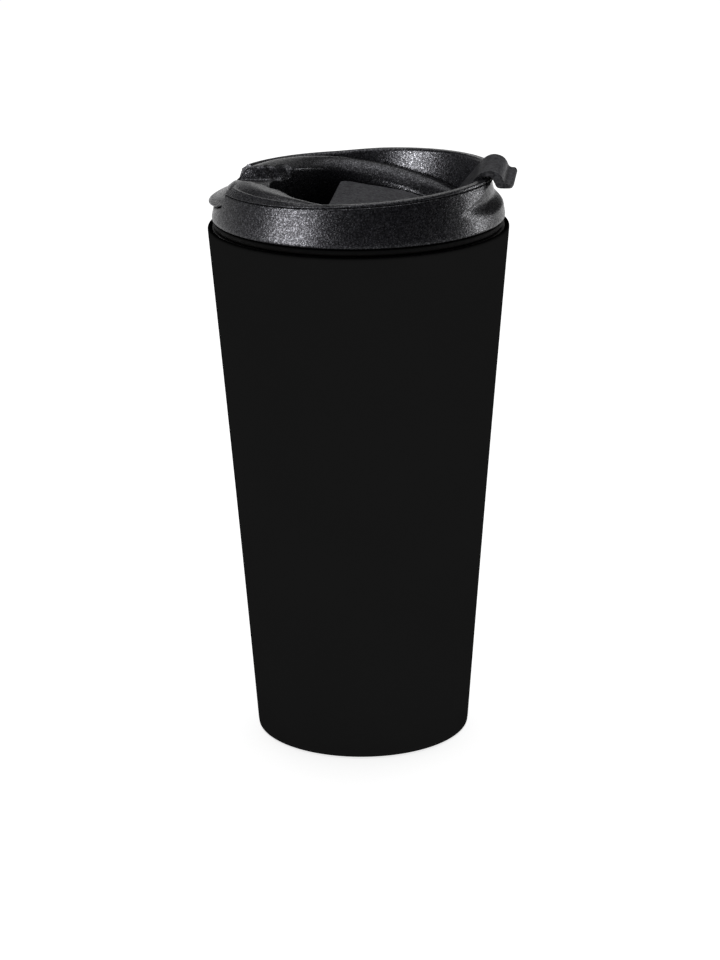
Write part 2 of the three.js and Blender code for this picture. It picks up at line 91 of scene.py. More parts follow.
# ---------------------------------------------------------------- sizes of the lever and the floor under it
PLATE_MID = 6  # height of the plate's top face on the cup axis
PLATE_SLOPE = 0.16
PLATE_TILT = math.atan(PLATE_SLOPE)
PLATE_THICKNESS = 2.2
PLATE_RADIUS = 28.2
PLATE_HALF_WIDTH = 26
PLATE_TAIL = -8
PLATE_CORNER = 3
FLOOR_GAP = 1.6  # plate to the recess floor
FLOOR_WALL = 1.8
POCKET_FLOOR = -4  # under the plate's tail
HOOK_HALF_WIDTH = 12
HOOK_EDGE = 0.3  # rounding along the hook's sides
TIP_ROUNDING = 2.2  # of the thumb lip's corners, seen from above
PIVOT_X = -6
PIVOT_Z = 2.6
PIN_RADIUS = 1
KNUCKLE_RADIUS = 2
LUG_INNER = 14.2
LUG_OUTER = 17.2
SLOT_X = 20.5
SLOT_HALF_LENGTH = 8
SLOT_HALF_WIDTH = 3.5
VENT_X = 6
VENT_RADIUS = 1.6

# ---------------------------------------------------------------- how finely things are made
AROUND = 240  # steps round a body of revolution
SMOOTH = 1e3  # a corner rounded as far as its neighbours allow
SHARP_ANGLE = 32  # degrees between faces that still shade as one surface
MERGE_DISTANCE = 1e-7
TINY = 1e-6


# ---------------------------------------------------------------- small maths
def mix(a, b, t):
    return a + (b - a) * t


def clamp01(t):
    return min(1.0, max(0.0, t))


def smooth(t):
    t = clamp01(t)
    return t * t * (3 - 2 * t)


def cosd(angle):
    return math.cos(math.radians(angle))


def sind(angle):
    return math.sin(math.radians(angle))


def rounded(corners, steps=4, is_open=False):
    """An outline of (a, b, radius) corners, each turned into a short curve. A radius of 0 keeps it sharp."""
    points = []
    count = len(corners)
    for i, (a, b, radius) in enumerate(corners):
        if radius == 0 or (is_open and i in (0, count - 1)):
            points.append((a, b))
            continue
        here = Vector((a, b))
        before = Vector(corners[i - 1][:2]) - here
        after = Vector(corners[(i + 1) % count][:2]) - here
        start = here + before * min(0.5, radius / max(before.length, 1e-9))
        end = here + after * min(0.5, radius / max(after.length, 1e-9))
        for k in range(steps + 1):
            t = k / steps
            p = start * (1 - t) ** 2 + here * (2 * t * (1 - t)) + end * t * t
            points.append((p.x, p.y))
    return points


# ---------------------------------------------------------------- meshes
def new_object(name, vertices, faces):
    mesh = bpy.data.meshes.new(name)
    mesh.from_pydata(vertices, [], faces)
    mesh.validate()
    obj = bpy.data.objects.new(name, mesh)
    bpy.context.scene.collection.objects.link(obj)
    return obj


def tidy_mesh(obj):
    bm = bmesh.new()
    bm.from_mesh(obj.data)
    bmesh.ops.remove_doubles(bm, verts=bm.verts, dist=MERGE_DISTANCE)
    bmesh.ops.dissolve_degenerate(bm, edges=bm.edges, dist=MERGE_DISTANCE)
    bmesh.ops.recalc_face_normals(bm, faces=bm.faces)
    bm.to_mesh(obj.data)
    bm.free()
    obj.data.shade_smooth()
    obj.data.set_sharp_from_angle(angle=math.radians(SHARP_ANGLE))
    return obj


def turned(name, profile, lift=0.0):
    """A body of revolution from (radius, height) points, closed unless both its ends are on the axis."""
    on_axis = profile[0][0] < TINY and profile[-1][0] < TINY
    vertices, rows = [], []
    for radius, height in profile:
        z = (height + lift) * MM
        if radius < TINY:
            rows.append([len(vertices)] * AROUND)
            vertices.append((0, 0, z))
        else:
            rows.append(list(range(len(vertices), len(vertices) + AROUND)))
            for i in range(AROUND):
                angle = 2 * math.pi * i / AROUND
                vertices.append((radius * MM * math.cos(angle), radius * MM * math.sin(angle), z))
    pairs = list(zip(rows, rows[1:]))
    if not on_axis:
        pairs.append((rows[-1], rows[0]))
    faces = []
    for low, high in pairs:
        for i in range(AROUND):
            j = (i + 1) % AROUND
            corners = []
            for v in (low[i], low[j], high[j], high[i]):
                if v not in corners:
                    corners.append(v)
            if len(corners) > 2:
                faces.append(corners)
    return tidy_mesh(new_object(name, vertices, faces))


def swept_ring(name, section_at):
    """A piece of the lid: a closed section carried round the axis, which may change with the azimuth."""
    vertices, faces = [], []
    azimuths = lid_azimuths()
    sections = [section_at(azimuth) for azimuth in azimuths]
    count = len(sections[0])
    for azimuth, section in zip(azimuths, sections):
        c, s = cosd(azimuth) * MM, sind(azimuth) * MM
        vertices += [(radius * c, radius * s, (height + CUP_HEIGHT) * MM) for radius, height in section]
    for i in range(len(azimuths)):
        a, b = i * count, (i + 1) % len(azimuths) * count
        for j in range(count):
            k = (j + 1) % count
            faces.append((a + j, b + j, b + k, a + k))
    return tidy_mesh(new_object(name, vertices, faces))


def prism(name, outline, place, start, end):
    """An outline of 2-D points pushed from start to end. place(a, b, c) gives the point in millimetres."""
    count = len(outline)
    vertices = [[c * MM for c in place(a, b, start)] for a, b in outline]
    vertices += [[c * MM for c in place(a, b, end)] for a, b in outline]
    faces = [tuple(range(count)), tuple(reversed(range(count, 2 * count)))]
    faces += [(j, (j + 1) % count, (j + 1) % count + count, j + count) for j in range(count)]
    return tidy_mesh(new_object(name, vertices, faces))


def upright(a, b, c):
    return (a, b, c + CUP_HEIGHT)


def across(a, b, c):
    return (a, c, b + CUP_HEIGHT)


def arc(a, b, radius, start, end, steps):
    """Points on an arc round (a, b), between two angles in degrees."""
    angles = [mix(start, end, i / steps) for i in range(steps + 1)]
    return [(a + radius * cosd(angle), b + radius * sind(angle)) for angle in angles]


def circle(a, b, radius, steps=48):
    return arc(a, b, radius, 0, 360, steps)[:-1]


def slot_outline(x, half_width, half_length, steps=16):
    """A slot with round ends, long in Y."""
    straight = half_length - half_width
    return arc(x, straight, half_width, 0, 180, steps) + arc(x, -straight, half_width, 180, 360, steps)


def combine(obj, other, operation):
    """obj joined with, cut by or kept inside other, which is used up."""
    modifier = obj.modifiers.new("combine", "BOOLEAN")
    modifier.object = other
    modifier.operation = operation
    modifier.solver = "EXACT"
    apply_modifiers(obj)
    bpy.data.objects.remove(other)
    return tidy_mesh(obj)


def apply_modifiers(obj):
    depsgraph = bpy.context.evaluated_depsgraph_get()
    mesh = bpy.data.meshes.new_from_object(obj.evaluated_get(depsgraph))
    obj.modifiers.clear()
    obj.data = mesh
    return obj


def bevelled(obj, width, segments=3, angle=35):
    modifier = obj.modifiers.new("bevel", "BEVEL")
    modifier.width = width * MM
    modifier.segments = segments
    modifier.limit_method = "ANGLE"
    modifier.angle_limit = math.radians(angle)
    modifier.miter_outer = "MITER_ARC"
    modifier.use_clamp_overlap = True
    apply_modifiers(obj)
    return tidy_mesh(obj)


def even_normals(obj):
    modifier = obj.modifiers.new("normals", "WEIGHTED_NORMAL")
    modifier.keep_sharp = True
    modifier.weight = 80
    return obj


# ---------------------------------------------------------------- the cup
def outer_radius(z):
    t = z / CUP_HEIGHT
    return mix(FOOT_RADIUS, RIM_RADIUS, t) - SIDE_HOLLOW * math.sin(math.pi * t)


def drink_radius(z):
    return outer_radius(z) - WALL_DEPTH


def outer_shell():
    roll = RIM_RADIUS - SHELL_WALL
    heights = [5 + 5 * i for i in range(30)]
    side = [(outer_radius(z), z, 0) for z in heights]
    inner_side = [(outer_radius(z) - SHELL_WALL, z, 0) for z in reversed(heights)]
    profile = rounded(
        [
            (FOOT_RADIUS - 1.9, 0.1, 0.2),
            (FOOT_RADIUS - 0.08, 0.1, 0.35),
            (outer_radius(1.5), 1.5, 0.3),
            *side,
            (outer_radius(CUP_HEIGHT - 2), CUP_HEIGHT - 2, 0),
            (RIM_RADIUS - 0.02, CUP_HEIGHT - 0.05, 0.9),
            (roll - 0.5, CUP_HEIGHT - 0.02, 0.2),
            (roll - 0.2, CUP_HEIGHT - 1.4, 0.2),
            *inner_side,
            (FOOT_RADIUS - 1.2, 1.6, 0.2),
            (FOOT_RADIUS - 1.2, 5, 0.1),
            (FOOT_RADIUS - 1.9, 5, 0.1),
        ],
        steps=5,
    )
    return turned("cup_outer_shell", profile)


def inner_liner():
    lip = RIM_RADIUS - SHELL_WALL - 0.5 - CLEARANCE
    floor = drink_radius(DRINK_FLOOR)

    def outside(z):
        return drink_radius(z) + LINER_WALL

    profile = rounded(
        [
            (0, DRINK_FLOOR - LINER_WALL, 0),
            (floor - 4, DRINK_FLOOR - LINER_WALL, 2),
            (floor - 0.4, DRINK_FLOOR + 0.6, 2),
            (outside(DRINK_FLOOR + 6), DRINK_FLOOR + 6, 1),
            (outside(CUP_HEIGHT - 1.6), CUP_HEIGHT - 1.6, 0.5),
            (lip, CUP_HEIGHT - 0.9, 0.1),
            (lip, CUP_HEIGHT - 0.3, 0.08),
            (drink_radius(CUP_HEIGHT) + 0.1, CUP_HEIGHT - 0.3, 0.4),
            (drink_radius(CUP_HEIGHT - 2), CUP_HEIGHT - 2, 0),
            (drink_radius(DRINK_FLOOR + 8), DRINK_FLOOR + 8, 0),
            (drink_radius(DRINK_FLOOR) - 0.2, DRINK_FLOOR, 6),
            (12, DRINK_FLOOR, 0),
            (11.6, DRINK_FLOOR + 0.25, 0.2),
            (0, DRINK_FLOOR + 0.25, 0),
        ],
        steps=8,
        is_open=True,
    )
    return turned("cup_inner_liner", profile)


def base_pad():
    profile = rounded(
        [
            (0, 0, 0),
            (PAD_RADIUS - 4.6, 0, 0.15),
            (PAD_RADIUS - 4.4, 0.35, 0.15),
            (PAD_RADIUS - 3.6, 0.35, 0.15),
            (PAD_RADIUS - 3.4, 0, 0.15),
            (PAD_RADIUS, 0, 0.8),
            (PAD_RADIUS, 2.4, 0.2),
            (8, 2.4, 0.2),
            (7, 1.4, 0.2),
            (0, 1.4, 0),
        ],
        is_open=True,
    )
    return turned("cup_base_pad", profile)


# ---------------------------------------------------------------- heights on the lid
def rim_top(x):
    return max(RIM_MID + RIM_TILT * x, REAR_RIM)


def sleeve_top(x):
    return SLEEVE_MID + SLEEVE_TILT * x


def ridge_top(x):
    return 14.4 - 9.75 * max(0.0, (x + 30) / 60) ** 1.8


def plate_top(x):
    return PLATE_MID - PLATE_SLOPE * x


def from_rear(azimuth):
    return 180 - abs((azimuth + 180) % 360 - 180)


def recess_radius(azimuth):
    return RECESS_RADIUS - REAR_NARROWING * smooth((abs(azimuth) - 100) / 40)


def shoulder_drop(azimuth):
    """How far the ridge's inner shoulder falls before the recess wall goes straight down."""
    return mix(3.9, 1.4, smooth((abs(azimuth) - 85) / 65))


def tab_share(azimuth):
    """0 in the middle of the lift tab's notch, 1 at its ends and beyond."""
    return min(1.0, from_rear(azimuth) / NOTCH_HALF_ANGLE)


def notch_floor(azimuth):
    return mix(TAB_FLOOR, TAB_END_FLOOR, tab_share(azimuth) ** 2.5)


def channel_share(azimuth, radius):
    """1 inside the channel that runs from the pit to the lift tab, 0 outside its rounded walls."""
    if from_rear(azimuth) > CHANNEL_REACH:
        return 0.0
    flare = CHANNEL_FLARE * smooth((31.5 - radius) / 6.5) ** 1.5
    return smooth((CHANNEL_HALF_WIDTH + flare + 0.9 - abs(radius * sind(azimuth))) / 1.6)


def channel_floor(azimuth, radius):
    out = min(1.0, abs(radius * sind(azimuth)) / CHANNEL_HALF_WIDTH)
    return mix(CHANNEL_CREST, CHANNEL_EDGE, out * out)


def scallop(azimuth, z):
    """How far the finger scallop under the hook sinks in: soft along its foot, crisp under its brow."""
    azimuth = abs(azimuth)
    if azimuth >= SCALLOP_HALF_ANGLE:
        return 0.0
    u = azimuth / SCALLOP_HALF_ANGLE
    foot = 8.2 - 2.2 * math.sqrt(1 - u ** 4)
    brow = 9.7 + 0.2 * (38 - azimuth)
    depth = SCALLOP_DEPTH * (1 - u * u) ** 0.8
    return depth * smooth((z - foot) / 3.6) * smooth((brow - z) / 1.1)


def lid_azimuths():
    """Even steps, with closer ones at the scallop, at the ends of the sleeve's wall and at the channel."""
    edge = 180 - NOTCH_HALF_ANGLE
    both = (-1, 1)
    even = [-180 + 1.5 * i for i in range(240)]
    scallop_steps = [side * (0.75 + 1.5 * i) for side in both for i in range(28)]
    edge_steps = [side * (edge - 1.6 + 0.1 * i) for side in both for i in range(33)]
    channel_steps = [side * (edge + 2 + 0.35 * i) for side in both for i in range(30)]
    clear = [azimuth for azimuth in even if not edge - 1.65 < abs(azimuth) < channel_steps[-1]]
    return sorted(clear + edge_steps + scallop_steps + channel_steps)


def rim_inset(azimuth):
    return scallop(azimuth, sleeve_top(SLEEVE_TOP_RADIUS * cosd(azimuth)))


def seat_radius(azimuth):
    """The radius of the seat under the rim flange, which gives way behind the scallop."""
    return min(SEAT_RADIUS, SLEEVE_TOP_RADIUS - rim_inset(azimuth) - SLEEVE_HEAD - CLEARANCE)


def notch_weights(azimuth):
    """Shares of wall, groove and lift tab in the section at this azimuth."""
    past = from_rear(azimuth) - NOTCH_HALF_ANGLE
    wall = smooth((past - GROOVE_START) / 0.5 + 0.5)
    tab = smooth((GROOVE_END - past) / 0.4 + 0.5)
    return wall, max(0.0, 1 - wall - tab), tab


def sleeve_section(azimuth):
    """The outer ring: full height all round, and cut down under the lift tab."""
    full_top = sleeve_top(SLEEVE_TOP_RADIUS * cosd(azimuth))
    low_top = notch_floor(azimuth) - CLEARANCE
    top = mix(low_top, full_top, notch_weights(azimuth)[0])

    def face(z):
        t = (z - SLEEVE_FOOT) / (full_top - SLEEVE_FOOT)
        return mix(SLEEVE_FOOT_RADIUS, SLEEVE_TOP_RADIUS, clamp01(t) ** 1.25) - scallop(azimuth, z)

    steps = 34
    heights = [mix(SLEEVE_FOOT + 0.9, top - 0.22, i / steps) for i in range(steps + 1)]
    foot = rounded(
        [
            (SLEEVE_FOOT_RADIUS - 1.7, SLEEVE_FOOT + 0.3, 0.1),
            (SLEEVE_FOOT_RADIUS - 1.6, SLEEVE_FOOT, 0.2),
            (face(SLEEVE_FOOT), SLEEVE_FOOT, 0.8),
            (face(SLEEVE_FOOT + 1.6), SLEEVE_FOOT + 1.6, 0),
        ],
        steps=7,
        is_open=True,
    )[:-1]
    inner = face(top) - SLEEVE_HEAD
    head = [
        (face(top) - 0.05, top - 0.12),
        (face(top) - 0.16, top - 0.02),
        (face(top) - 0.3, top),
        (inner, top),
        (max(inner - 0.25, seat_radius(azimuth) + CLEARANCE), mix(top, SLEEVE_FOOT, 0.3)),
        (SLEEVE_FOOT_RADIUS - 1.75, mix(top, SLEEVE_FOOT, 0.75)),
    ]
    return foot + [(face(z), z) for z in heights] + head


def rear_share(azimuth):
    """0 over the front half of the lid, 1 over its rear."""
    return smooth((abs(azimuth) - 80) / 40)


def ridge_points(azimuth, ridge, lean):
    """From the recess wall up over the ridge and down to the foot of the drinking wall."""
    recess = recess_radius(azimuth)
    drop = shoulder_drop(azimuth)
    return [
        (recess, ridge - drop - 1.4, 0.3),
        (recess + 0.1, ridge - drop - 0.1, 0.8),
        (mix(recess, RIDGE_RADIUS, 0.35), ridge - drop * 0.5, SMOOTH),
        (mix(recess, RIDGE_RADIUS, 0.65), ridge - drop * 0.17, SMOOTH),
        (RIDGE_RADIUS, ridge + 0.08, SMOOTH),
        (34.6 - lean / 2, ridge - 0.15, SMOOTH),
        (36 - lean, ridge - 0.9, SMOOTH),
    ]


def wall_points(azimuth, ridge, lean):
    """The drinking wall, its rim and the flange over the sleeve."""
    rear = rear_share(azimuth)
    edge_x = SLEEVE_TOP_RADIUS * cosd(azimuth)
    edge = SLEEVE_TOP_RADIUS - rim_inset(azimuth)
    rim = rim_top(edge_x)
    seat = seat_radius(azimuth)
    flange_foot = sleeve_top(edge_x) + 0.22
    shoulder = mix(rim - 0.35, flange_foot + 0.2, rear)
    return [
        (36.6 - lean, ridge - 1.3, 0.5),
        (mix(37.95, 36.9, rear) - lean, mix(rim - 0.5, rim - 0.6, rear), mix(0.3, 0.8, rear)),
        (mix(WALL_RADIUS + 0.1 - lean, 37.5, rear), rim, mix(0.25, 0.5, rear)),
        (mix(min(39.2, edge - 0.7), 38.45, rear), rim + 0.02, 0.35),
        (mix(edge - 0.25, 38.85, rear), mix(rim, rim - 0.5, rear), mix(0.3, 0.2, rear)),
        (edge, shoulder, mix(0.3, 0.15, rear)),
        (edge, flange_foot, 0.12),
        (edge - 0.5, flange_foot, 0.1),
        (seat + 0.2, flange_foot - 0.2, 0.1),
        (seat, flange_foot - 1.2, 0.1),
    ]


def tab_points(azimuth):
    """The lift tab, which takes the drinking wall's place in the notch and thins out towards its ends."""
    share = tab_share(azimuth)
    draw = 3 * share ** 2
    floor = notch_floor(azimuth) + 0.05
    return [
        (37.1, 12.3, SMOOTH),
        (37.8, 11, SMOOTH),
        (39.2, 9.8, SMOOTH),
        (40.6 - 0.3 * draw, 8.8, SMOOTH),
        (42.2 - 0.8 * draw, 7.9 + 0.75 * share ** 2, SMOOTH),
        (TAB_RADIUS - 0.5 - draw, 7.45 + 1.1 * share ** 2, SMOOTH),
        (TAB_RADIUS - draw, floor + mix(1.1, 0.45, share ** 2), SMOOTH),
        (TAB_RADIUS - 0.3 - draw, floor + mix(0.5, 0.15, share ** 2), SMOOTH),
        (42.6 - 0.8 * draw, floor, 0.4),
        (38.2, floor, 0.1),
    ]


# The groove at each end of the notch, between the drinking wall and the lift tab.
GROOVE_POINTS = [
    (36.3, 11.9, 0.5),
    (37.2, 11.5, 0.5),
    (37.8, 11.1, 0.3),
    (38, 10.6, 0.3),
    (38, 9.9, 0.1),
    (38, 9.3, 0.1),
    (38, 8.9, 0.1),
    (38, 8.7, 0.1),
    (38, 8.5, 0.1),
    (37.9, 8.3, 0.1),
]


def blended(shares, lists):
    """One list of points from several equally long ones, mixed by their shares, rounded as the crispest."""
    points = []
    for several in zip(*lists):
        radius, height = (sum(share * p[k] for share, p in zip(shares, several)) for k in range(2))
        points.append((radius, height, min(p[2] for share, p in zip(shares, several) if share > 0.001)))
    return points


def top_section(azimuth):
    """The top moulding: recess wall, ridge, inner wall, rim flange or lift tab, and underside."""
    ridge = ridge_top(RIDGE_RADIUS * cosd(azimuth))
    recess = recess_radius(azimuth)
    lean = SEAT_RADIUS - seat_radius(azimuth)
    inside = [through_channel(azimuth, point) for point in ridge_points(azimuth, ridge, lean)]
    tab = tab_points(azimuth)
    tab = [through_channel(azimuth, point) for point in tab[:3]] + tab[3:]
    outside = blended(notch_weights(azimuth), (wall_points(azimuth, ridge, lean), GROOVE_POINTS, tab))
    bottom = min(ridge - 3.4, notch_floor(azimuth) - 1)
    near_channel = smooth((CHANNEL_REACH + 5 - from_rear(azimuth)) / 5)
    soffit = mix(ridge - 2.6, CHANNEL_EDGE - FLOOR_WALL, near_channel)
    foot = POCKET_FLOOR - FLOOR_WALL
    under = [
        (recess + 1.6, foot, 0.1),
        (recess + 1.6, min(soffit - 0.1, ridge - shoulder_drop(azimuth) - 1.8), 0.5),
        (mix(recess, RIDGE_RADIUS, 0.8), soffit, 0.5),
        (34.5 - lean, soffit, 0.5),
        (36 - lean, bottom, 0.3),
        (37.8 - lean, bottom, 0.3),
    ]
    return rounded(under + outside[::-1] + inside[::-1] + [(recess, foot, 0.1)])


def through_channel(azimuth, point):
    """A point of the section's top, sunk to the channel's floor where the channel crosses it."""
    radius, height, rounding = point
    floor = channel_floor(azimuth, radius)
    if height <= floor:
        return point
    return (radius, mix(height, floor, channel_share(azimuth, radius)), rounding)


# ---------------------------------------------------------------- the lid
def lid_sleeve():
    return swept_ring("lid_sleeve_ring", sleeve_section)


def recess_floor():
    """A slope under the lever's plate, and a deep pocket behind it for the plate's tail."""

    def slope(x):
        return plate_top(x) - PLATE_THICKNESS - FLOOR_GAP

    below = POCKET_FLOOR - FLOOR_WALL
    outline = rounded(
        [
            (31, slope(31), 0),
            (-1.4, slope(-1.4), 0.6),
            (-2.2, POCKET_FLOOR, 0.8),
            (-13, POCKET_FLOOR, 2),
            (-17, POCKET_FLOOR + 1, SMOOTH),
            (-22, POCKET_FLOOR + 5, SMOOTH),
            (-28, POCKET_FLOOR + 12, 0),
            (-28, POCKET_FLOOR + 9.5, 0),
            (-21.5, POCKET_FLOOR + 2.5, SMOOTH),
            (-17, below + 0.7, SMOOTH),
            (-13, below, 1),
            (-0.5, below, 0.5),
            (0.3, slope(0.3) - FLOOR_WALL, 0.5),
            (31, slope(31) - FLOOR_WALL, 0),
        ],
        steps=6,
    )
    bar = prism("floor_bar", outline, across, -30, 30)
    disc = [
        ((recess_radius(a) + 0.9) * cosd(a), (recess_radius(a) + 0.9) * sind(a))
        for a in [-180 + 3 * i for i in range(120)]
    ]
    return combine(bar, prism("floor_disc", disc, upright, -8, 12), "INTERSECT")


def hinge_lug(side):
    start, end = (LUG_INNER, LUG_OUTER) if side > 0 else (-LUG_OUTER, -LUG_INNER)
    top = arc(PIVOT_X, PIVOT_Z, KNUCKLE_RADIUS, -20, 200, 22)
    outline = [(PIVOT_X - 2, -4.6), (PIVOT_X + 4.2, -4.6)] + top
    return bevelled(prism("lug", outline, across, start, end), 0.25, 2)


def lid_top():
    body = swept_ring("lid_top_moulding", top_section)
    combine(body, recess_floor(), "UNION")
    combine(body, hinge_lug(1), "UNION")
    combine(body, hinge_lug(-1), "UNION")
    slot = prism("slot", slot_outline(SLOT_X, SLOT_HALF_WIDTH, SLOT_HALF_LENGTH), upright, -8, 8)
    combine(body, slot, "DIFFERENCE")
    vent = prism("vent", circle(VENT_X, 0, VENT_RADIUS, 32), upright, -8, 8)
    combine(body, vent, "DIFFERENCE")
    reach = LUG_OUTER + 1
    pin = prism("pin_hole", circle(PIVOT_X, PIVOT_Z, PIN_RADIUS + CLEARANCE, 32), across, -reach, reach)
    return combine(body, pin, "DIFFERENCE")


def lid_plug():
    def face(z):
        return mix(39.8, 38.9, -z / PLUG_DEPTH)

    profile = rounded(
        [
            (37.3, -PLUG_DEPTH, 0.3),
            (38.6, -PLUG_DEPTH, 0.5),
            (face(-PLUG_DEPTH + 1), -PLUG_DEPTH + 1, 0.5),
            (face(-8), -8, 0.15),
            (38.7, -8, 0.1),
            (38.7, -5, 0.1),
            (face(-5), -5, 0.15),
            (39.8, 0.3, 0.2),
            (40.9, 2.3, 0.2),
            (40.9, 3.4, 0.1),
            (38.5, 3.4, 0.1),
            (38.4, 0, 0.1),
        ]
    )
    return turned("lid_inner_plug", profile, lift=CUP_HEIGHT)


def plug_seal_ring():
    profile = rounded(
        [
            (39, -7.7, 0.1),
            (39.7, -7.7, 0.2),
            (40.15, -6.9, 0.35),
            (39.75, -6.4, 0.2),
            (40.2, -5.8, 0.35),
            (39.8, -5.3, 0.2),
            (39, -5.3, 0.1),
        ]
    )
    return turned("lid_plug_seal_ring", profile, lift=CUP_HEIGHT)


def rim_gasket():
    profile = rounded(
        [
            (40.6, 0.3, 0.1),
            (42.55, 0.3, 0.3),
            (42.7, 1, 0.3),
            (42.55, 1.9, 0.3),
            (41.2, 1.9, 0.1),
        ]
    )
    return turned("lid_rim_gasket", profile, lift=CUP_HEIGHT)


# ---------------------------------------------------------------- the lever
def tilted(x, y, z):
    """A point on the plate's own plane, turned to its slope."""
    c, s = math.cos(PLATE_TILT), math.sin(PLATE_TILT)
    return (x * c + z * s, y, -x * s + z * c + PLATE_MID + CUP_HEIGHT)


def plate_outline():
    """Round in front, and straight across the tail with rounded corners."""
    flank = math.degrees(math.asin(PLATE_HALF_WIDTH / PLATE_RADIUS))
    front = arc(0, 0, PLATE_RADIUS, -flank, flank, 80)
    tail = arc(PLATE_TAIL + PLATE_CORNER, PLATE_HALF_WIDTH - PLATE_CORNER, PLATE_CORNER, 90, 180, 8)
    return front + tail + [(x, -y) for x, y in reversed(tail)]


def lever_plate():
    return prism("plate", plate_outline(), tilted, -PLATE_THICKNESS, 0)


# The hook seen from the side, from the plate up over the rim to the tip of the thumb lip.
HOOK_UNDER = [
    (22, plate_top(22) - 1.6),
    *[(25.6, -0.3), (27, 2.6), (28.4, 5.4), (29.9, 8), (31.6, 10.9), (33.4, 13.7), (34.6, 15.2)],
    *[(35.9, 16.3), (37.9, 16.8), (39.3, 16.7), (40.2, 15.7), (41, 14.1), (41.8, 13.5)],
    *[(43.4, 13.4), (45.6, 13.3)],
]
HOOK_OVER = [
    (22, plate_top(22) - 0.1),
    *[(24.8, 3), (26.6, 5.3), (28.4, 8.1), (30.4, 10.7), (32.5, 13.2), (34.2, 15.3), (35.3, 16.6)],
    *[(36.5, 17.7), (37.9, 18.4), (39.2, 18.6), (40.6, 18.35), (41.9, 17.7), (42.8, 16.6)],
    *[(43.4, 15.3), (44.2, 14.8), (45.3, 14.7), (46, 14)],
]


def spline(points, count):
    """count points spread along a Catmull-Rom curve through the given ones."""
    padded = [points[0], *points, points[-1]]
    out = []
    for i in range(count):
        s = i / (count - 1) * (len(points) - 1)
        k = min(int(s), len(points) - 2)
        t = s - k
        p0, p1, p2, p3 = (Vector(p) for p in padded[k : k + 4])
        linear = (p2 - p0) * t
        square = (2 * p0 - 5 * p1 + 4 * p2 - p3) * t * t
        cubic = (3 * p1 - p0 - 3 * p2 + p3) * t ** 3
        out.append(0.5 * (2 * p1 + linear + square + cubic))
    return out


def lever_hook():
    """A ribbon that rises from the plate, arches over the rim and ends in the thumb lip."""
    count = 90
    tip_length = 0.08  # of the ribbon's length, over which the lip's corners round off
    over, under = spline(HOOK_OVER, count), spline(HOOK_UNDER, count)
    vertices, faces = [], []
    for i in range(count):
        rise = over[i] - under[i]
        thickness = rise.length
        direction = rise / thickness
        near_tip = clamp01(1 - (1 - i / (count - 1)) / tip_length)
        half = HOOK_HALF_WIDTH - TIP_ROUNDING * (1 - math.sqrt(1 - near_tip ** 2))
        edge = min(HOOK_EDGE, thickness * 0.45)
        corners = [(-half, 0), (half, 0), (half, thickness), (-half, thickness)]
        for y, up in rounded([(y, up, edge) for y, up in corners]):
            p = under[i] + direction * up
            vertices.append((p.x * MM, y * MM, (p.y + CUP_HEIGHT) * MM))
    around = len(vertices) // count
    for i in range(count - 1):
        for j in range(around):
            k = (j + 1) % around
            faces.append((i * around + j, i * around + k, (i + 1) * around + k, (i + 1) * around + j))
    faces.append(tuple(range(around)))
    last = (count - 1) * around
    faces.append(tuple(reversed(range(last, last + around))))
    return tidy_mesh(new_object("hook", vertices, faces))


def flip_lever():
    reach = LUG_INNER - CLEARANCE
    body = bevelled(lever_plate(), 0.45, 3)
    body.name = body.data.name = "lever_flip_plate_and_hook"
    web = prism(
        "web",
        [
            (PIVOT_X - 1.3, PIVOT_Z),
            (PIVOT_X + 1.3, PIVOT_Z),
            (PIVOT_X + 1.6, plate_top(PIVOT_X) - 1),
            (PIVOT_X - 1.2, plate_top(PIVOT_X) - 1),
        ],
        across,
        -reach,
        reach,
    )
    knuckle = bevelled(
        prism("knuckle", circle(PIVOT_X, PIVOT_Z, KNUCKLE_RADIUS), across, -reach, reach), 0.25, 2
    )
    combine(body, lever_hook(), "UNION")
    combine(body, web, "UNION")
    combine(body, knuckle, "UNION")
    hole = prism("hole", circle(PIVOT_X, PIVOT_Z, PIN_RADIUS + CLEARANCE), across, -reach - 1, reach + 1)
    return combine(body, hole, "DIFFERENCE")


def hinge_pin():
    rod = prism("lever_hinge_pin", circle(PIVOT_X, PIVOT_Z, PIN_RADIUS), across, -LUG_OUTER, LUG_OUTER)
    return bevelled(rod, 0.25, 3, angle=60)


def stopper(name, flange, plug, x):
    """A silicone stopper: a flange under the plate with a plug that enters the opening below it."""
    ceiling = plate_top(x) - PLATE_THICKNESS * 1.02 - CLEARANCE
    cosine, sine = math.cos(PLATE_TILT), math.sin(PLATE_TILT)

    def place(a, b, c):
        return (x + (a - x) * cosine + c * sine, b, ceiling - (a - x) * sine + c * cosine + CUP_HEIGHT)

    body = bevelled(prism(name, flange, place, -0.75, 0), 0.25, 2)
    return combine(body, bevelled(prism("plug", plug, place, -2, -0.4), 0.35, 3), "UNION")


def drink_stopper():
    flange = slot_outline(SLOT_X, SLOT_HALF_WIDTH + 1.6, SLOT_HALF_LENGTH + 1.6)
    plug = slot_outline(SLOT_X, SLOT_HALF_WIDTH - 0.5, SLOT_HALF_LENGTH - 0.5)
    return stopper("lever_drink_stopper", flange, plug, SLOT_X)


def vent_stopper():
    flange = circle(VENT_X, 0, VENT_RADIUS + 1.2)
    return stopper("lever_vent_stopper", flange, circle(VENT_X, 0, VENT_RADIUS - 0.5, 32), VENT_X)


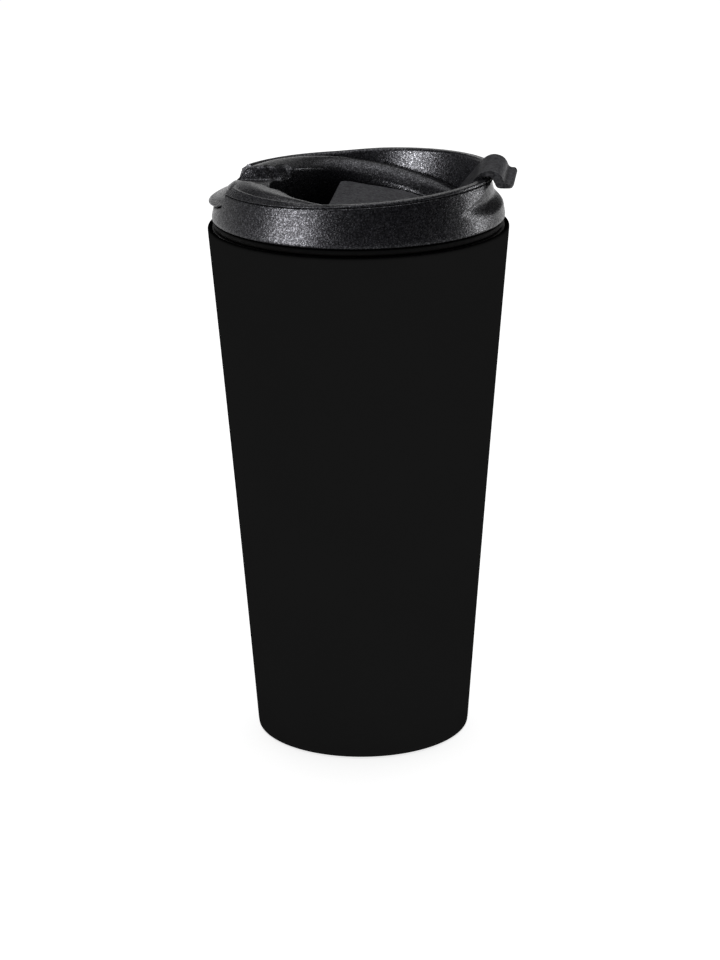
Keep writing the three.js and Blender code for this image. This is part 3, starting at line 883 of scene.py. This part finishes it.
# ---------------------------------------------------------------- materials
class Nodes:
    """A short way to write a material's node tree."""

    def __init__(self, name):
        self.material = bpy.data.materials.new(name)
        self.material.use_nodes = True
        self.tree = self.material.node_tree
        self.shader = self.tree.nodes["Principled BSDF"]
        self.place = self.add("ShaderNodeTexCoord").outputs["Object"]

    def add(self, kind, inputs=None, **settings):
        node = self.tree.nodes.new(kind)
        for key, value in settings.items():
            setattr(node, key, value)
        for key, value in (inputs or {}).items():
            self.put(node.inputs[key], value)
        return node

    def put(self, socket, value):
        if isinstance(value, bpy.types.NodeSocket):
            self.tree.links.new(value, socket)
        else:
            socket.default_value = value

    def set(self, **sockets):
        for key, value in sockets.items():
            self.put(self.shader.inputs[key.replace("_", " ")], value)

    def stretched(self, scale):
        return self.add("ShaderNodeMapping", {"Vector": self.place, "Scale": scale}).outputs["Vector"]

    def noise(self, scale, detail=2.0, roughness=0.5, vector=None):
        inputs = {"Vector": vector or self.place, "Scale": scale, "Detail": detail, "Roughness": roughness}
        return self.add("ShaderNodeTexNoise", inputs).outputs["Fac"]

    def cells(self, scale, output="Color"):
        """Small cells, each with a colour of its own."""
        node = self.add("ShaderNodeTexVoronoi", {"Vector": self.place, "Scale": scale})
        return node.outputs[output]

    def separate(self, colour):
        """A colour's red, green and blue, as three numbers."""
        return self.add("ShaderNodeSeparateColor", {"Color": colour}).outputs

    def power(self, value, exponent):
        node = self.add("ShaderNodeMath", operation="POWER")
        self.put(node.inputs[0], value)
        self.put(node.inputs[1], exponent)
        return node.outputs[0]

    def between(self, value, low, high, to_low, to_high):
        inputs = {"Value": value, "From Min": low, "From Max": high, "To Min": to_low, "To Max": to_high}
        return self.add("ShaderNodeMapRange", inputs).outputs["Result"]

    def colours(self, factor, first, second):
        node = self.add("ShaderNodeMix", data_type="RGBA")
        self.put(node.inputs["Factor"], factor)
        self.put(node.inputs["A"], (*first, 1))
        self.put(node.inputs["B"], (*second, 1))
        return node.outputs["Result"]

    def bump(self, height, strength, distance, normal=None):
        inputs = {"Height": height, "Strength": strength, "Distance": distance * MM}
        if normal:
            inputs["Normal"] = normal
        return self.add("ShaderNodeBump", inputs).outputs["Normal"]


def grey(value):
    return (value, value, value)


def powder_coat():
    """Matt near-black powder coat with a fine pebbled skin."""
    n = Nodes("cup_paint")
    pebble = n.noise(2600, 2, 0.5)
    drift = n.noise(35, 2, 0.5)
    n.set(
        Base_Color=n.colours(drift, grey(0.0119), grey(0.0135)),
        Roughness=n.between(pebble, 0.3, 0.7, 0.62, 0.74),
        Normal=n.bump(pebble, 0.35, 0.03),
        Specular_IOR_Level=0.0,
    )
    return n.material


def bare_steel():
    """Satin stainless steel, brushed round the axis."""
    n = Nodes("bare_steel")
    brushed = n.noise(300, 3, 0.6, n.stretched((0.06, 0.06, 6)))
    cloud = n.noise(40, 2, 0.5)
    n.set(
        Base_Color=n.colours(cloud, (0.53, 0.53, 0.525), (0.62, 0.62, 0.61)),
        Roughness=n.between(brushed, 0.3, 0.7, 0.24, 0.4),
        Normal=n.bump(brushed, 0.12, 0.02),
        Metallic=1.0,
    )
    return n.material


def flake_plastic():
    """Dark charcoal plastic with fine metal flake moulded in: small facets that each shine their own way."""
    n = Nodes("pearl_plastic")
    flake_size = 0.28  # mm
    base = (0.0016, 0.0016, 0.0019)
    flake = tuple(6 * c for c in base)
    shine = 0.2
    per_metre = 1000 / flake_size
    bright, dull, glint = n.separate(n.cells(per_metre))
    facets = n.noise(per_metre * 0.8, 1, 0.5)
    n.set(
        Base_Color=n.colours(n.power(bright, 6), base, flake),
        Roughness=n.between(dull, 0, 1, 0.2, 0.4),
        Specular_IOR_Level=n.between(n.power(glint, 3), 0, 1, shine * 0.45, shine * 3.2),
        Normal=n.bump(facets, 0.3, 0.2),
        Specular_Tint=(0.93, 0.93, 1.0, 1),
    )
    return n.material


def textured_plastic():
    """The lever's coarser spark-eroded texture, with the same flake in it."""
    n = Nodes("textured_plastic")
    grain = n.noise(1100, 4, 0.65)
    mottle = n.between(n.noise(420, 3, 0.6), 0.35, 0.65, 0, 1)
    glint = n.separate(n.cells(1900))["Red"]
    speck = n.power(n.cells(3000, "Distance"), 2)
    n.set(
        Base_Color=n.colours(mottle, (0.006, 0.006, 0.007), (0.02, 0.02, 0.023)),
        Roughness=n.between(grain, 0.3, 0.7, 0.36, 0.56),
        Specular_IOR_Level=n.between(glint, 0, 1, 0.08, 0.75),
        Normal=n.bump(grain, 0.6, 0.1, n.bump(speck, 0.3, 0.05)),
        Specular_Tint=(0.95, 0.95, 1.0, 1),
    )
    return n.material


def dark_plastic():
    """Plain satin black moulding."""
    n = Nodes("dark_plastic")
    grain = n.noise(1200, 3, 0.6)
    n.set(
        Base_Color=n.colours(grain, (0.008, 0.008, 0.0085), (0.014, 0.014, 0.015)),
        Roughness=n.between(grain, 0.3, 0.7, 0.36, 0.46),
        Normal=n.bump(grain, 0.12, 0.03),
    )
    return n.material


def silicone():
    """Matt black silicone."""
    n = Nodes("silicone")
    grain = n.noise(900, 2, 0.5)
    n.set(
        Base_Color=n.colours(grain, grey(0.0022), grey(0.0042)),
        Roughness=n.between(grain, 0.3, 0.7, 0.62, 0.78),
        Normal=n.bump(grain, 0.15, 0.03),
        Specular_IOR_Level=0.12,
    )
    return n.material


def floor_material():
    """A pale floor that glows a little, so that it comes out white."""
    n = Nodes("studio_floor")
    drift = n.noise(3, 2, 0.5)
    n.set(
        Base_Color=n.colours(drift, grey(0.80), grey(0.82)),
        Roughness=0.9,
        Specular_IOR_Level=0.0,
        Emission_Color=(1, 1, 1, 1),
        Emission_Strength=0.8,
    )
    return n.material


# ---------------------------------------------------------------- build
PAINT = powder_coat()
STEEL = bare_steel()
PEARL = flake_plastic()
LEVER = textured_plastic()
DARK = dark_plastic()
RUBBER = silicone()

# What makes each piece, the body it rides on, the frame's node it stands for, its slot and its look.
PIECES = [
    (outer_shell, "cup", "outer_shell", "cup_paint", PAINT),
    (inner_liner, "cup", "inner_liner", "bare_steel", STEEL),
    (base_pad, "cup", "base_pad", "silicone", RUBBER),
    (lid_sleeve, "lid", "lid_sleeve", "pearl_plastic", PEARL),
    (lid_top, "lid", "lid_top", "pearl_plastic", PEARL),
    (lid_plug, "lid", "lid_plug", "dark_plastic", DARK),
    (plug_seal_ring, "lid", "plug_seal_ring", "silicone", RUBBER),
    (rim_gasket, "lid", "rim_gasket", "silicone", RUBBER),
    (hinge_pin, "lid", "hinge_pin", "bare_steel", STEEL),
    (flip_lever, "lever", "flip_lever", "textured_plastic", LEVER),
    (drink_stopper, "lever", "drink_stopper", "silicone", RUBBER),
    (vent_stopper, "lever", "vent_stopper", "silicone", RUBBER),
]

# Which pieces a light falls on: the lid's two mouldings, the top one alone, the lever, or the room's list.
pearl_lit = bpy.data.collections.new("pearl_lit")
top_lit = bpy.data.collections.new("top_lit")
lever_lit = bpy.data.collections.new("lever_lit")
room_lit = bpy.data.collections.new("room_lit")

for make, body, node, slot, look in PIECES:
    piece = make()
    piece.data.materials.clear()
    piece.data.materials.append(look)
    even_normals(piece)
    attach(piece, body)
    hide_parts(node)
    if look is PEARL:
        pearl_lit.objects.link(piece)
    if look is LEVER:
        lever_lit.objects.link(piece)
    if make is lid_top:
        top_lit.objects.link(piece)
    if look is not PAINT:
        room_lit.objects.link(piece)

for node in ("base_plate", "vacuum_seal_bead", "getter_disc"):
    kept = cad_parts[node]
    kept.data.materials.clear()
    kept.data.materials.append(STEEL)


# ---------------------------------------------------------------- studio, in metres
FLOOR_HALF_WIDTH = 9
FLOOR_DROP = 0.0004  # just under the pad
corners = [(a * FLOOR_HALF_WIDTH, b * FLOOR_HALF_WIDTH, 0) for a, b in ((-1, -1), (1, -1), (1, 1), (-1, 1))]
floor = new_object("studio_floor", corners, [(0, 1, 2, 3)])
floor.location.z = -FLOOR_DROP
floor.data.materials.append(floor_material())
room_lit.objects.link(floor)

world = bpy.data.worlds.new("studio")
world.use_nodes = True
background = world.node_tree.nodes["Background"]
background.inputs["Color"].default_value = (1, 1, 1, 1)
background.inputs["Strength"].default_value = 0.06
bpy.context.scene.world = world

CAMERA_AZIMUTH = 6.0
CAMERA_TURN = 0.02  # how far the camera looks past the axis
CAMERA_DISTANCE = 0.8801  # along the floor
CAMERA_HEIGHT = 0.3595
CAMERA_PITCH = 17.806
CAMERA_ROLL = -0.569
CAMERA_LENS = 115.1


def in_front(right, away, height):
    """A place given from where the camera stands: right of the cup's axis, away from the camera, and up."""
    c, s = cosd(CAMERA_AZIMUTH), sind(CAMERA_AZIMUTH)
    return Vector((right * c - away * s, right * s + away * c, height))


def softbox(name, place, target, width, height, power, receivers):
    """A soft rectangular light that the camera doesn't see."""
    data = bpy.data.lights.new(name, "AREA")
    data.shape = "RECTANGLE"
    data.size, data.size_y = width, height
    data.energy = power
    obj = bpy.data.objects.new(name, data)
    obj.location = place
    obj.rotation_mode = "QUATERNION"
    obj.rotation_quaternion = (Vector(target) - Vector(place)).to_track_quat("-Z", "Y")
    bpy.context.scene.collection.objects.link(obj)
    obj.visible_camera = False
    obj.light_linking.receiver_collection = receivers


# Each light on the lid: its place for in_front(), its width, height and power, and what it falls on.
LID_CENTRE = (0, 0, 0.165)
LID_LIGHTS = [
    ("key", (-0.60, -0.44, 0.20), 0.42, 0.5, 13, pearl_lit),
    ("side_strip", (0.70, 0.20, 0.22), 0.12, 0.5, 3, pearl_lit),
    ("left_fill", (-0.9, 0.25, 0.35), 0.9, 0.8, 1.1, pearl_lit),
    ("pearl_top_light", (0, -0.1, 0.95), 0.8, 0.6, 4, pearl_lit),
    ("back_strip", (-0.1, 1.0, 0.32), 2.0, 0.4, 2.1, top_lit),
    ("wall_glint", (-0.55, -0.45, 0.27), 0.25, 0.12, 4.5, top_lit),
    ("lever_top_light", (0, 0.3, 0.9), 0.8, 0.6, 3, lever_lit),
    ("lever_side_light", (0.60, 0.10, 0.42), 0.2, 0.4, 1.4, lever_lit),
]
for name, place, width, height, power, receivers in LID_LIGHTS:
    softbox(name, in_front(*place), LID_CENTRE, width, height, power, receivers)
softbox("overhead", (0, 0.3, 1.6), (0, 0, 0), 1.6, 1.6, 14, room_lit)

# ---------------------------------------------------------------- camera
camera_data = bpy.data.cameras.new("camera")
camera_data.sensor_width = 36
camera_data.lens = CAMERA_LENS
camera_data.clip_start, camera_data.clip_end = 0.01, 100
camera = bpy.data.objects.new("camera", camera_data)
bpy.context.scene.collection.objects.link(camera)
yaw, pitch, roll = (math.radians(a) for a in (CAMERA_AZIMUTH + CAMERA_TURN, CAMERA_PITCH, CAMERA_ROLL))
forward = Vector((-math.sin(yaw) * math.cos(pitch), math.cos(yaw) * math.cos(pitch), -math.sin(pitch)))
level_right = Vector((math.cos(yaw), math.sin(yaw), 0))
level_up = level_right.cross(forward)
right = level_right * math.cos(roll) + level_up * math.sin(roll)
up = level_up * math.cos(roll) - level_right * math.sin(roll)
turn = Matrix((right, up, -forward)).transposed().to_4x4()
camera.matrix_world = Matrix.Translation(in_front(0, -CAMERA_DISTANCE, CAMERA_HEIGHT)) @ turn
bpy.context.scene.camera = camera
bpy.context.scene.view_settings.view_transform = "Standard"
